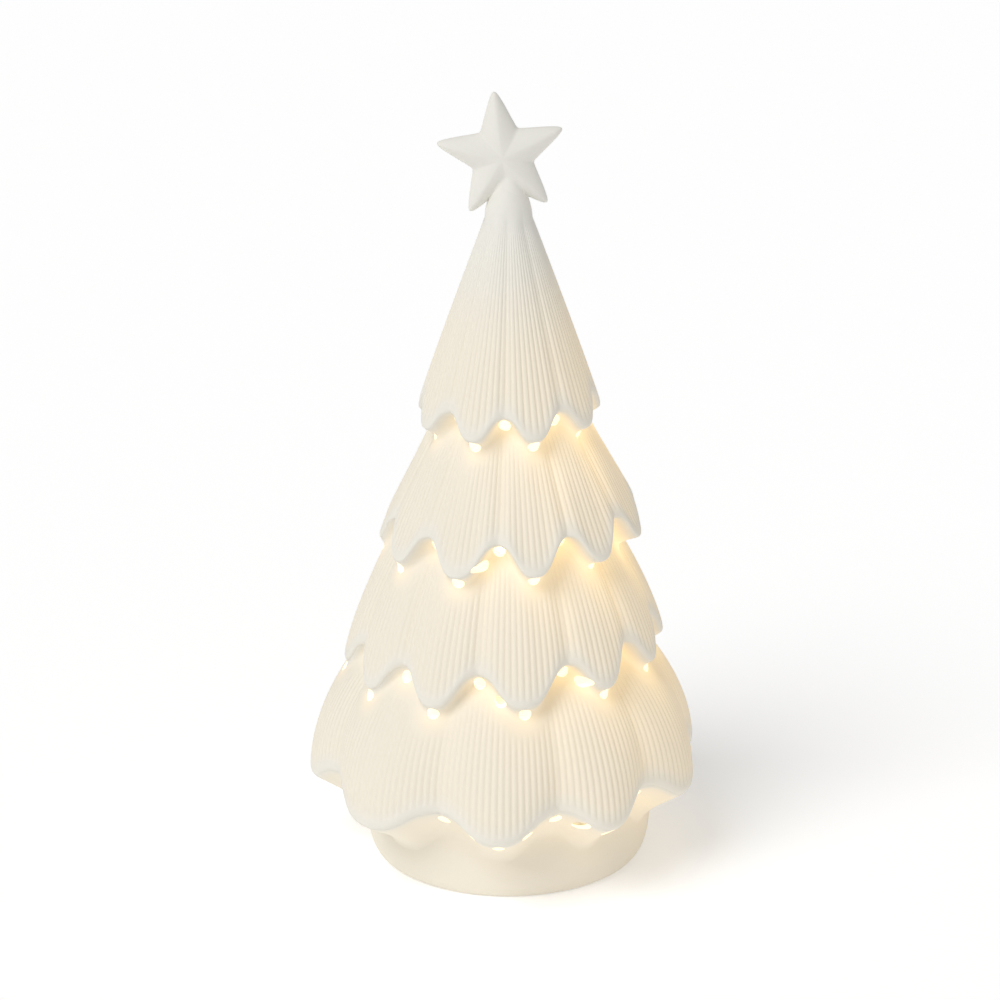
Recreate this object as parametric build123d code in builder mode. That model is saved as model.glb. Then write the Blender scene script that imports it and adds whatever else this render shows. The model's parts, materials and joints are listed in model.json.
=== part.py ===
"""A lit ceramic tree: a scalloped four-tier shell with a star, and a battery light unit in its foot."""

import os
from math import atan2, cos, degrees, dist, pi, radians, sin, tan

from build123d import *

os.makedirs("parts", exist_ok=True)

# Azimuths are in degrees from the front (-Y), positive towards +X. Lengths are in millimetres.

# Shell: neck, wall and rounded base
NECK_HEIGHT = 210.0
NECK_RADIUS = 7.5
DOME_RISE = 12.0
DOME_TOP_RADIUS = 2.6
SHELL_WALL = 3.0
BASE_RADIUS = 45.5
FOOT_RADIUS = 41.0
FOOT_ROUND_HEIGHT = 13.0
ROUND_STEPS = 3
CUT_OVERRUN = 2.0

# Tiers from the top down: each skirt runs from a hidden root circle to a scalloped hem
LIP_RADIUS = 63.3
LOBE_REACH = 5.2
LOBE_DROP = 9.5
HEM_SLANT = 3.4
TIER_SHIFT = 1.2
TUCK_DROP = 7.0
NOTCH_HEIGHT_SHARES = (0.731, 0.555, 0.367, 0.162)
ROOT_HEIGHT_SHARES = (1.0, 0.714, 0.533, 0.343)
LIP_RADIUS_SHARES = (0.471, 0.671, 0.81, 1.0)
ROOT_RADIUS_SHARES = (NECK_RADIUS / LIP_RADIUS, 0.355, 0.529, 0.687)
LOBE_REACH_SHARES = (0.62, 0.9, 1.0, 1.15)
FOLD_ROOT_SHARES = (0.15, 0.5, 0.5, 0.5)
FOLD_POWER = 0.65
LOBE_DROP_SHARES = (0.74, 1.0, 1.0, 0.79)
HEM_SLANT_SHARES = (0.24, 0.65, 1.0, 0.44)
TIER_SHIFT_SHARES = (0.0, 0.7, -1.0, -0.75)
SKIRT_POWERS = (1.05, 1.05, 1.35, 2.0)
SKIRT_SEGMENTS = (1, 1, 2, 3)
FOLD_STEPS = 4
HEM_LAP_SHARE = 0.08
TUCK_DROP_SHARES = (1.0, 1.0, 1.0, 1.9)
BAND_PITCHES = (65, 65, 65, 40)
SCALLOP_LAP = 1.0
SCALLOP_STEPS = 3
NOTCH_AZIMUTHS = (
    (-168, -127, -86, -44, -3, 38, 80, 120, 157),
    (-170, -137, -106, -76, -42, -5, 29, 61, 94, 126, 158),
    (-160, -134, -107, -73, -44, -12, 24, 54, 82, 113, 144, 172),
    (-152, -113, -69, -22, 16, 49, 88, 128, 168),
)

# Light holes through the band under each hem
HOLE_RADIUS = 1.9
HOLE_SIDES = 8
NOTCH_HOLE_DROP = 3.4
LOBE_HOLE_DROP = 2.3
EXTRA_HOLE_AZIMUTHS = ((), (-14,), (-3, 31), (-12, 6, 24))

# Star, standing in the XZ plane and fused to the neck
STAR_RADIUS = 23.0
STAR_WAIST_RADIUS = 9.0
STAR_HALF_THICKNESS = 4.6
STAR_TIP_RADIUS = 20.2
STAR_RISE = 19.8
STAR_OFFSET = -2.0
STAR_TILT = 7
STAR_POINTS = 5
STAR_LAYER_SHARES = ((1.0, 0.0), (0.75, 0.55), (0.15, 1.0))

# Foot recess and the opening that the light unit closes
FLOOR_RECESS = 5.0
FLOOR_THICKNESS = 3.5
OPENING_RADIUS = 32.0
FOOT_RING_WIDTH = 3.5
HOLLOW_TOP_DROP = 12.0
HOLLOW_SIDES = 27

# Light base: a flange under the floor with a battery tub through the opening, on foam pads
PAD_THICKNESS = 0.9
PAD_LENGTH = 16.0
PAD_WIDTH = 3.0
PAD_COUNT = 4
PAD_PLACE = 34.0
FLANGE_RADIUS = 36.5
FLANGE_THICKNESS = 2.0
TUB_WALL = 1.5
TUB_ROOF = 1.6
TUB_CORNER = 4.0
RAIL_SIZE = 1.0
RAIL_LENGTH = 30.0
RAIL_OFFSET = 5.0
RAIL_CLEARANCE = 0.1

# Three AAA cells, side by side along Y
CELL_COUNT = 3
CELL_RADIUS = 5.25
CELL_LENGTH = 44.5
CELL_NUB_RADIUS = 1.9
CELL_NUB_LENGTH = 1.0
CELL_GAP = 0.6
CELL_SIDE_CLEARANCE = 0.5
CELL_DOOR_CLEARANCE = 0.7
CELL_ROOF_CLEARANCE = 0.5

# Sheet-metal contacts at both ends of the cells
CONTACT_THICKNESS = 0.4
CONTACT_WIDTH = 7.0
CONTACT_HEIGHT = 8.0
CONTACT_CLEARANCE = 0.1
SPRING_ROOM = 4.6
SPRING_WIDTH = 5.0
SPRING_FLAT = 2.0
DIMPLE_RADIUS = 1.6
DIMPLE_SIDES = 8
DIMPLE_HEIGHT = 0.5
TAIL_WIDTH = 2.5
TAIL_CLEARANCE = 0.2
TAIL_STANDOUT = 1.2

# Battery door, hinged at its front edge
DOOR_THICKNESS = 1.8
DOOR_CLEARANCE = 0.3
DOOR_TAB_WIDTH = 10.0
DOOR_TAB_LENGTH = 3.3
DOOR_TAB_THICKNESS = 1.0
DOOR_TAB_CLEARANCE = 0.2
DOOR_GRIP_RADIUS = 3.0
DOOR_GRIP_DEPTH = 0.7
DOOR_GRIP_WIDTH = 12.0
DOOR_GRIP_INSET = 5.0
HINGE_PIN_RADIUS = 0.5
HINGE_PIN_LENGTH = 2.0
HINGE_CLEARANCE = 0.05

# Slide switch beside the tub
SWITCH_OFFSET = 25.5
SWITCH_WIDTH = 4.2
SWITCH_LENGTH = 9.0
SWITCH_HEIGHT = 4.0
KNOB_WIDTH = 1.8
KNOB_LENGTH = 3.0
KNOB_TRAVEL = 3.0
KNOB_SINK = 1.2
KNOB_STANDOUT = 1.4
KNOB_CLEARANCE = 0.15
KNOB_GROOVE = 0.4
KNOB_GROOVES = 3

# Circuit board on two posts over the tub
BOARD_WIDTH = 30.0
BOARD_LENGTH = 52.6
BOARD_THICKNESS = 1.6
POST_HEIGHT = 2.6
POST_RADIUS = 2.3
POST_SPACING = 36.0
SCREW_RADIUS = 1.0
SCREW_LENGTH = 5.0
SCREW_FIT = 0.05
SCREW_HEAD_RADIUS = 1.9
SCREW_HEAD_HEIGHT = 1.3
SCREW_HOLE_CLEARANCE = 0.2
CHIP_WIDTH = 3.9
CHIP_LENGTH = 4.9
CHIP_HEIGHT = 1.5
CHIP_OFFSET = 12.0
CHIP_LEG_WIDTH = 0.45
CHIP_LEG_SPAN = 6.0
CHIP_LEG_HEIGHT = 0.6
CHIP_LEG_PITCH = 1.27
CHIP_LEGS = 4

# Upright LED board, tabbed into the circuit board
LED_BOARD_WIDTH = 9.0
LED_BOARD_THICKNESS = 1.6
LED_BOARD_TOP = 138.0
LED_TAB_WIDTH = 5.6
LED_TAB_STANDOUT = 0.4
LED_TAB_CLEARANCE = 0.1
LED_SIZE = 5.0
LED_HEIGHT = 1.6
LED_DRAFT = 6
LED_HEIGHT_SHARES = (0.2, 0.45, 0.7, 0.95)

# Two leads from the switch to the circuit board
LEAD_RADIUS = 0.45
LEAD_SIDES = 5
LEAD_BEND = 2.0
LEAD_SPACING = 4.0
LEAD_RISE = 2.8
LEAD_PAD_INSET = 3.0

# Levels and places worked out from the sizes above
FLOOR_TOP = FLOOR_RECESS + FLOOR_THICKNESS
FLANGE_TOP = FLOOR_RECESS - PAD_THICKNESS
FLANGE_BOTTOM = FLANGE_TOP - FLANGE_THICKNESS
DOOR_TOP = FLANGE_BOTTOM + DOOR_THICKNESS
CELL_LEVEL = DOOR_TOP + CELL_DOOR_CLEARANCE + CELL_RADIUS
BAY_CEILING = CELL_LEVEL + CELL_RADIUS + CELL_ROOF_CLEARANCE
ROOF_TOP = BAY_CEILING + TUB_ROOF
BOARD_BOTTOM = ROOF_TOP + POST_HEIGHT
BOARD_TOP = BOARD_BOTTOM + BOARD_THICKNESS
SWITCH_TOP = FLANGE_TOP + SWITCH_HEIGHT
CELL_PITCH = 2 * CELL_RADIUS + CELL_GAP
NUB_ROOM = CONTACT_THICKNESS + DIMPLE_HEIGHT + CONTACT_CLEARANCE
BAY_WIDTH = CELL_COUNT * CELL_PITCH - CELL_GAP + 2 * CELL_SIDE_CLEARANCE
BAY_LENGTH = CELL_LENGTH + NUB_ROOM + SPRING_ROOM
TUB_WIDTH = BAY_WIDTH + 2 * TUB_WALL
TUB_LENGTH = BAY_LENGTH + 2 * TUB_WALL
DOOR_WIDTH = BAY_WIDTH - 2 * DOOR_CLEARANCE
DOOR_END = BAY_LENGTH / 2 - DOOR_CLEARANCE
HINGE_LEVEL = FLANGE_BOTTOM + DOOR_THICKNESS / 2
HINGE_PLACE = DOOR_CLEARANCE + DOOR_THICKNESS / 2 - BAY_LENGTH / 2
PIN_SPAN = DOOR_WIDTH + 2 * HINGE_PIN_LENGTH
KNOB_PLACE = -KNOB_TRAVEL / 2
CELL_PLACES = [CELL_PITCH * (cell - (CELL_COUNT - 1) / 2) for cell in range(CELL_COUNT)]
TAIL_PLACE = BAY_LENGTH / 2 - CONTACT_THICKNESS / 2
HOLE_DEPTH = LIP_RADIUS - BASE_RADIUS + 2 * SHELL_WALL + CUT_OVERRUN
TIER_COUNT = len(NOTCH_AZIMUTHS)


def polar_point(radius, azimuth, height):
    """A point at an azimuth, seen from the tree's own axis."""
    return Vector(radius * sin(radians(azimuth)), -radius * cos(radians(azimuth)), height)


def lobe_pairs(tier):
    """The two notches beside each lobe, as azimuths."""
    notches = NOTCH_AZIMUTHS[tier]
    return list(zip(notches, (*notches[1:], notches[0] + 360)))


def lobe_wave(tier, azimuth):
    """0 at the notches and about 1 in the middle of each lobe, more on the wider lobes."""
    pairs = lobe_pairs(tier)
    turned = (azimuth - pairs[0][0]) % 360 + pairs[0][0]
    start, end = next(pair for pair in pairs if pair[0] <= turned < pair[1])
    width_share = (end - start) * len(pairs) / 360
    return width_share**0.5 * (1 - cos(2 * pi * (turned - start) / (end - start))) / 2


def notch_height(tier):
    return NECK_HEIGHT * NOTCH_HEIGHT_SHARES[tier]


def lobe_drop(tier):
    return LOBE_DROP * LOBE_DROP_SHARES[tier]


def hem_slant(tier):
    return HEM_SLANT * HEM_SLANT_SHARES[tier]


def lip_radius(tier):
    return LIP_RADIUS * LIP_RADIUS_SHARES[tier]


def hem_height(tier, azimuth):
    """Height of the hem: scalloped, and lower on the left than on the right."""
    slant = hem_slant(tier) * sin(radians(azimuth))
    return notch_height(tier) - lobe_drop(tier) * lobe_wave(tier, azimuth) + slant


def skirt_radius(tier, azimuth, height):
    """Radius of a tier's bowed skirt, upright below its hem: it folds in from the lobes to the notches."""
    root_height = NECK_HEIGHT * ROOT_HEIGHT_SHARES[tier]
    root_radius = LIP_RADIUS * ROOT_RADIUS_SHARES[tier]
    run = min((root_height - height) / (root_height - hem_height(tier, azimuth)), 1)
    bowed = root_radius + (lip_radius(tier) - root_radius) * (1 - (1 - run) ** SKIRT_POWERS[tier])
    fold_share = FOLD_ROOT_SHARES[tier] + (1 - FOLD_ROOT_SHARES[tier]) * run
    reach = LOBE_REACH * LOBE_REACH_SHARES[tier]
    return bowed + reach * fold_share * (lobe_wave(tier, azimuth) ** FOLD_POWER - 1)


def valley_radius(tier, height):
    """Radius of a skirt along one of its notches."""
    return skirt_radius(tier, NOTCH_AZIMUTHS[tier][0], height)


def fold_azimuths(tier):
    """Azimuths of a skirt's corners, a few to each lobe."""
    shares = [step / FOLD_STEPS for step in range(FOLD_STEPS)]
    return [start + (end - start) * share for start, end in lobe_pairs(tier) for share in shares]


def tier_shift(tier):
    """How far a tier stands to the side of the base."""
    return Vector(TIER_SHIFT * TIER_SHIFT_SHARES[tier], 0, 0)


def tuck_drop(tier):
    return TUCK_DROP * TUCK_DROP_SHARES[tier]


def folded_bell(tier, bottom):
    """A closed bell of flat facets along the folds of a skirt, from its root past its hem to a level."""
    folds = fold_azimuths(tier)
    root_height = NECK_HEIGHT * ROOT_HEIGHT_SHARES[tier]
    rows = []
    for segment in range(SKIRT_SEGMENTS[tier] + 1):
        share = segment / SKIRT_SEGMENTS[tier]
        heights = [root_height + (hem_height(tier, fold) - root_height) * share for fold in folds]
        places = zip(folds, heights)
        row = [polar_point(skirt_radius(tier, fold, height), fold, height) for fold, height in places]
        rows.append([corner + tier_shift(tier) for corner in row])
    rows[-1] = [hem + (hem - above) * HEM_LAP_SHARE for hem, above in zip(rows[-1], rows[-2])]
    rows.append([Vector(corner.X, corner.Y, bottom) for corner in rows[-1]])
    faces = [Face(Wire.make_polygon(rows[0])), Face(Wire.make_polygon(rows[-1]))]
    for high, low in zip(rows, rows[1:]):
        for fold in range(len(folds)):
            faces.append(Face(Wire.make_polygon((low[fold - 1], low[fold], high[fold]))))
            faces.append(Face(Wire.make_polygon((low[fold - 1], high[fold], high[fold - 1]))))
    return Solid(Shell(faces))


def quarter_round(start, end):
    """Points of a rounded corner that leaves its start sideways and reaches its end upright."""
    turns = [pi / 2 * step / ROUND_STEPS for step in range(ROUND_STEPS + 1)]
    return [
        (start[0] + (end[0] - start[0]) * sin(turn), start[1] + (end[1] - start[1]) * (1 - cos(turn)))
        for turn in turns
    ]


def scallop_outline(tier, before, notch, after):
    """The hem from lobe to lobe round a notch, carried along the band's slope to an upright plane."""
    plane_radius = lip_radius(tier) + CUT_OVERRUN
    slope = tan(radians(BAND_PITCHES[tier]))
    outline = []
    for step in range(-SCALLOP_STEPS, SCALLOP_STEPS + 1):
        width = (after - notch if step > 0 else notch - before) / 2
        turn = width * step / SCALLOP_STEPS
        height = hem_height(tier, notch + turn)
        reach = skirt_radius(tier, notch + turn, height)
        rise = (plane_radius - reach * cos(radians(turn))) * slope
        outline.append((reach * sin(radians(turn)), height + rise))
    return outline


def hole_plane(tier, azimuth):
    """Where a light hole starts outside the band, facing the tier's axis."""
    wave = min(lobe_wave(tier, azimuth), 1)
    drop = NOTCH_HOLE_DROP + (LOBE_HOLE_DROP - NOTCH_HOLE_DROP) * wave
    height = hem_height(tier, azimuth) - drop
    start = polar_point(lip_radius(tier) + CUT_OVERRUN, azimuth, height) + tier_shift(tier)
    return Plane(start, z_dir=polar_point(-1, azimuth, 0))


def star_corners(scale):
    """The ten corners of the star, in its own plane."""
    corners = []
    for corner in range(2 * STAR_POINTS):
        reach = STAR_WAIST_RADIUS if corner % 2 else STAR_RADIUS
        turn = radians(90 + STAR_TILT + 180 * corner / STAR_POINTS)
        corners.append((reach * scale * cos(turn), reach * scale * sin(turn)))
    return corners


def facet_taper(wide, narrow, sides):
    """Draft angle of the flat facets between two levels, each a radius and a height."""
    return degrees(atan2((wide[0] - narrow[0]) * cos(pi / sides), abs(narrow[1] - wide[1])))


def spring_outline(plate_face, bow, inset):
    """Side view of a bent leaf, from its feet on a contact plate to its flat top."""
    foot = CONTACT_HEIGHT / 2 - inset
    flat = SPRING_FLAT / 2
    return [
        (plate_face, CELL_LEVEL - foot),
        (bow, CELL_LEVEL - flat),
        (bow, CELL_LEVEL + flat),
        (plate_face, CELL_LEVEL + foot),
    ]


def save_piece(piece, name):
    """Label a finished piece and write it to its own file."""
    piece.label = name
    export_step(piece, f"parts/{name}.step")


# Tiers of the shell: a bowed bell each, its hem cut into lobes along the slope of the band
bells = []
for tier in range(TIER_COUNT):
    shift = tier_shift(tier)
    pitch = radians(BAND_PITCHES[tier])
    lip_height = notch_height(tier) - lobe_drop(tier)
    bell_bottom = lip_height - hem_slant(tier) - tuck_drop(tier)
    cut_bottom = bell_bottom - CUT_OVERRUN
    with BuildPart() as bell:
        add(folded_bell(tier, bell_bottom))
        pairs = lobe_pairs(tier)
        for (last_start, last_end), (notch, after) in zip([pairs[-1], *pairs], pairs):
            outwards = polar_point(1, notch, 0)
            sideways = polar_point(1, notch + 90, 0)
            start = outwards * (lip_radius(tier) + CUT_OVERRUN) + shift
            hem = scallop_outline(tier, notch - (last_end - last_start), notch, after)
            with BuildSketch(Plane(start, x_dir=sideways, z_dir=outwards)):
                with BuildLine():
                    left = hem[0][0] - SCALLOP_LAP
                    right = hem[-1][0] + SCALLOP_LAP
                    ends = (right, hem[-1][1]), (right, cut_bottom), (left, cut_bottom), (left, hem[0][1])
                    Polyline(*hem, *ends, close=True)
                make_face()
            slope = outwards * -cos(pitch) + Vector(0, 0, -sin(pitch))
            hem_top = max(height for _, height in hem)
            extrude(amount=(hem_top - cut_bottom) / sin(pitch), dir=slope, mode=Mode.SUBTRACT)
    bells.append(bell.part)

# Star: two puffed halves, back to back, with blunt tips
star_plane = Plane((STAR_OFFSET, 0, NECK_HEIGHT + STAR_RISE), x_dir=(1, 0, 0), z_dir=(0, -1, 0))
star_side = dist(*star_corners(1)[:2])
star_edge_distance = STAR_RADIUS * STAR_WAIST_RADIUS * sin(pi / STAR_POINTS) / star_side
with BuildPart() as star:
    for (scale, rise), (next_scale, next_rise) in zip(STAR_LAYER_SHARES, STAR_LAYER_SHARES[1:]):
        layer_height = STAR_HALF_THICKNESS * (next_rise - rise)
        inset = star_edge_distance * (scale - next_scale)
        with BuildSketch(star_plane.offset(STAR_HALF_THICKNESS * rise)):
            Polygon(*star_corners(scale), align=None)
        extrude(amount=layer_height, taper=degrees(atan2(inset, layer_height)))
    mirror(about=star_plane)
    with BuildSketch(star_plane):
        Circle(STAR_TIP_RADIUS)
    extrude(amount=STAR_HALF_THICKNESS, both=True, mode=Mode.INTERSECT)

# Outline of the hollow: it steps out with each tier, one wall inside the skirts and bands
hollow = [(BASE_RADIUS - SHELL_WALL, FLOOR_TOP)]
for tier in reversed(range(TIER_COUNT)):
    step_height = notch_height(tier) + hem_slant(tier)
    tuck_height = step_height - tuck_drop(tier)
    inner = BASE_RADIUS if tier == TIER_COUNT - 1 else valley_radius(tier + 1, tuck_height)
    outer = valley_radius(tier, step_height)
    hollow += [(inner - SHELL_WALL, tuck_height), (outer - SHELL_WALL, step_height)]
hollow_top = NECK_HEIGHT - HOLLOW_TOP_DROP
hollow.append((valley_radius(0, hollow_top) - SHELL_WALL, hollow_top))

hole_planes = []
for tier in range(TIER_COUNT):
    pairs = lobe_pairs(tier)
    lobes = [(start + end) / 2 for start, end in pairs]
    places = [*NOTCH_AZIMUTHS[tier], *lobes, *EXTRA_HOLE_AZIMUTHS[tier]]
    hole_planes += [hole_plane(tier, azimuth) for azimuth in places]

# Shell: base, dome, tiers and star in one casting, hollowed and pierced
with BuildPart() as tree_shell:
    with BuildSketch(Plane.XZ):
        with BuildLine():
            foot = quarter_round((FOOT_RADIUS, 0), (BASE_RADIUS, FOOT_ROUND_HEIGHT))
            base_top = notch_height(TIER_COUNT - 1)
            Polyline((0, 0), *foot, (BASE_RADIUS, base_top), (0, base_top), close=True)
        make_face()
        with BuildLine():
            dome_top = NECK_HEIGHT + DOME_RISE
            dome = quarter_round((DOME_TOP_RADIUS, dome_top), (NECK_RADIUS, NECK_HEIGHT))
            Polyline((0, dome_top), *dome, (0, NECK_HEIGHT), close=True)
        make_face()
    revolve(axis=Axis.Z)
    for bell_part in bells:
        add(bell_part)
    add(star.part)
    for low, high in zip(hollow, hollow[1:]):
        wide = max(low, high)
        narrow = min(low, high)
        with BuildSketch(Plane((0, 0, wide[1]), x_dir=(1, 0, 0), z_dir=(0, 0, narrow[1] - wide[1]))):
            RegularPolygon(wide[0], HOLLOW_SIDES)
        taper = facet_taper(wide, narrow, HOLLOW_SIDES)
        extrude(amount=high[1] - low[1], taper=taper, mode=Mode.SUBTRACT)
    with BuildSketch():
        Circle(FOOT_RADIUS - FOOT_RING_WIDTH)
    extrude(amount=FLOOR_RECESS, mode=Mode.SUBTRACT)
    with BuildSketch(Plane.XY.offset(FLOOR_RECESS)):
        Circle(OPENING_RADIUS)
    extrude(amount=FLOOR_THICKNESS, mode=Mode.SUBTRACT)
    with BuildSketch(*hole_planes):
        RegularPolygon(HOLE_RADIUS, HOLE_SIDES)
    extrude(amount=HOLE_DEPTH, mode=Mode.SUBTRACT)
save_piece(tree_shell.part, "tree_shell")

# Foam pads that bond the light base to the ceramic floor
with BuildPart() as foam_pads:
    with BuildSketch(Plane.XY.offset(FLANGE_TOP)):
        with PolarLocations(PAD_PLACE, PAD_COUNT):
            Rectangle(PAD_WIDTH, PAD_LENGTH)
    extrude(amount=PAD_THICKNESS)
save_piece(foam_pads.part, "foam_pads")

# Light base: flange, battery tub, board posts and the openings for door, switch and contacts
with BuildPart() as light_base:
    with BuildSketch(Plane.XY.offset(FLANGE_BOTTOM)):
        Circle(FLANGE_RADIUS)
    extrude(amount=FLANGE_THICKNESS)
    with BuildSketch(Plane.XY.offset(FLANGE_BOTTOM)):
        RectangleRounded(TUB_WIDTH, TUB_LENGTH, TUB_CORNER)
    extrude(amount=ROOF_TOP - FLANGE_BOTTOM)
    with BuildSketch(Plane.XY.offset(ROOF_TOP)):
        with GridLocations(0, POST_SPACING, 1, 2):
            Circle(POST_RADIUS)
    extrude(amount=POST_HEIGHT)
    with BuildSketch(Plane.XY.offset(FLANGE_BOTTOM)):
        Rectangle(BAY_WIDTH, BAY_LENGTH)
    extrude(amount=BAY_CEILING - FLANGE_BOTTOM, mode=Mode.SUBTRACT)
    with BuildSketch(Plane.XY.offset(DOOR_TOP + RAIL_CLEARANCE)):
        with Locations((0, RAIL_OFFSET)):
            with GridLocations(BAY_WIDTH - RAIL_SIZE, 0, 2, 1):
                Rectangle(RAIL_SIZE, RAIL_LENGTH)
    extrude(amount=RAIL_SIZE)
    with BuildSketch(Plane.XY.offset(FLANGE_BOTTOM)):
        with Locations((0, DOOR_END)):
            notch_length = DOOR_TAB_LENGTH + DOOR_CLEARANCE
            Rectangle(DOOR_TAB_WIDTH + 2 * DOOR_CLEARANCE, notch_length, align=(Align.CENTER, Align.MIN))
    extrude(amount=DOOR_TAB_THICKNESS + DOOR_TAB_CLEARANCE, mode=Mode.SUBTRACT)
    with Locations(Plane((0, HINGE_PLACE, HINGE_LEVEL), z_dir=(1, 0, 0))):
        Cylinder(HINGE_PIN_RADIUS + HINGE_CLEARANCE, PIN_SPAN + 2 * DOOR_CLEARANCE, mode=Mode.SUBTRACT)
    with BuildSketch(Plane.XY.offset(FLANGE_BOTTOM)):
        with Locations((SWITCH_OFFSET, 0)):
            Rectangle(KNOB_WIDTH + 2 * KNOB_CLEARANCE, KNOB_LENGTH + KNOB_TRAVEL + 2 * KNOB_CLEARANCE)
    extrude(amount=FLANGE_THICKNESS, mode=Mode.SUBTRACT)
    with BuildSketch(Plane.XY.offset(BAY_CEILING)):
        with Locations((CELL_PLACES[0], TAIL_PLACE), (CELL_PLACES[-1], -TAIL_PLACE)):
            Rectangle(TAIL_WIDTH + 2 * TAIL_CLEARANCE, CONTACT_THICKNESS + 2 * TAIL_CLEARANCE)
    extrude(amount=TUB_ROOF, mode=Mode.SUBTRACT)
    with BuildSketch(Plane.XY.offset(BOARD_BOTTOM)):
        with GridLocations(0, POST_SPACING, 1, 2):
            Circle(SCREW_RADIUS + SCREW_FIT)
    extrude(amount=BOARD_THICKNESS - SCREW_LENGTH - SCREW_FIT, mode=Mode.SUBTRACT)
save_piece(light_base.part, "light_base")

# Battery door: a flush lid with a round hinge edge, two pins and a thumb tab
with BuildPart() as battery_door:
    with BuildSketch(Plane.XY.offset(FLANGE_BOTTOM)):
        with Locations((0, HINGE_PLACE)):
            Rectangle(DOOR_WIDTH, DOOR_END - HINGE_PLACE, align=(Align.CENTER, Align.MIN))
    extrude(amount=DOOR_THICKNESS)
    with BuildSketch(Plane.XY.offset(FLANGE_BOTTOM)):
        with Locations((0, DOOR_END)):
            Rectangle(DOOR_TAB_WIDTH, DOOR_TAB_LENGTH, align=(Align.CENTER, Align.MIN))
    extrude(amount=DOOR_TAB_THICKNESS)
    with Locations(Plane((0, HINGE_PLACE, HINGE_LEVEL), z_dir=(1, 0, 0))):
        Cylinder(DOOR_THICKNESS / 2, DOOR_WIDTH)
        Cylinder(HINGE_PIN_RADIUS, PIN_SPAN)
    grip_level = FLANGE_BOTTOM + DOOR_GRIP_DEPTH - DOOR_GRIP_RADIUS
    with Locations(Plane((0, DOOR_END - DOOR_GRIP_INSET, grip_level), z_dir=(1, 0, 0))):
        Cylinder(DOOR_GRIP_RADIUS, DOOR_GRIP_WIDTH, mode=Mode.SUBTRACT)
save_piece(battery_door.part, "battery_door")

# Batteries: the middle one lies the other way round
for cell, place in enumerate(CELL_PLACES):
    facing = -1 if cell % 2 else 1
    cell_back = facing * (SPRING_ROOM - BAY_LENGTH / 2)
    with BuildPart() as battery:
        with Locations(Plane((place, cell_back, CELL_LEVEL), x_dir=(1, 0, 0), z_dir=(0, facing, 0))):
            on_end = (Align.CENTER, Align.CENTER, Align.MIN)
            Cylinder(CELL_RADIUS, CELL_LENGTH - CELL_NUB_LENGTH, align=on_end)
            Cylinder(CELL_NUB_RADIUS, CELL_LENGTH, align=on_end)
    save_piece(battery.part, f"battery_{cell + 1}")

# Contacts: plates on the end walls, with a dimple for each nub and a bowed spring for each flat end
CONTACTS = {
    "positive_terminal": (1, (), CELL_PLACES[:1], True),
    "rear_bridge": (1, CELL_PLACES[1:2], CELL_PLACES[2:], False),
    "front_bridge": (-1, CELL_PLACES[:1], CELL_PLACES[1:2], False),
    "negative_terminal": (-1, CELL_PLACES[2:], (), True),
}
for name, (end, springs, dimples, has_tail) in CONTACTS.items():
    wall = end * BAY_LENGTH / 2
    plate_face = wall - end * CONTACT_THICKNESS
    spring_top = wall - end * (SPRING_ROOM - CONTACT_CLEARANCE)
    plate_high = CELL_LEVEL + CONTACT_HEIGHT / 2
    served = [*springs, *dimples]
    with BuildPart() as contact:
        with BuildSketch(Plane((0, wall, CELL_LEVEL), x_dir=(end, 0, 0), z_dir=(0, -end, 0))):
            with Locations((end * sum(served) / len(served), 0)):
                Rectangle(max(served) - min(served) + CONTACT_WIDTH, CONTACT_HEIGHT)
        extrude(amount=CONTACT_THICKNESS)
        for place in springs:
            with BuildSketch(Plane.YZ.offset(place)):
                Polygon(*spring_outline(plate_face, spring_top, 0), align=None)
                spring_back = spring_top + end * CONTACT_THICKNESS
                inner = spring_outline(plate_face, spring_back, CONTACT_THICKNESS)
                Polygon(*inner, align=None, mode=Mode.SUBTRACT)
            extrude(amount=SPRING_WIDTH / 2, both=True)
        for place in dimples:
            with BuildSketch(Plane((place, plate_face, CELL_LEVEL), z_dir=(0, -end, 0))):
                RegularPolygon(DIMPLE_RADIUS, DIMPLE_SIDES)
            extrude(amount=DIMPLE_HEIGHT)
        if has_tail:
            with BuildSketch(Plane.XY.offset(plate_high)):
                with Locations((served[0], end * TAIL_PLACE)):
                    Rectangle(TAIL_WIDTH, CONTACT_THICKNESS)
            extrude(amount=BOARD_TOP + TAIL_STANDOUT - plate_high)
    save_piece(contact.part, name)

# Circuit board, with slots for the contact tails and the LED board's tab
with BuildPart() as circuit_board:
    with BuildSketch(Plane.XY.offset(BOARD_BOTTOM)):
        Rectangle(BOARD_WIDTH, BOARD_LENGTH)
        with GridLocations(0, POST_SPACING, 1, 2):
            Circle(SCREW_RADIUS + SCREW_HOLE_CLEARANCE, mode=Mode.SUBTRACT)
        with Locations((CELL_PLACES[0], TAIL_PLACE), (CELL_PLACES[-1], -TAIL_PLACE)):
            slot_width = CONTACT_THICKNESS + 2 * TAIL_CLEARANCE
            Rectangle(TAIL_WIDTH + 2 * TAIL_CLEARANCE, slot_width, mode=Mode.SUBTRACT)
        tab_slot_width = LED_BOARD_THICKNESS + 2 * LED_TAB_CLEARANCE
        Rectangle(LED_TAB_WIDTH + 2 * LED_TAB_CLEARANCE, tab_slot_width, mode=Mode.SUBTRACT)
    extrude(amount=BOARD_THICKNESS)
save_piece(circuit_board.part, "circuit_board")

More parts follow.
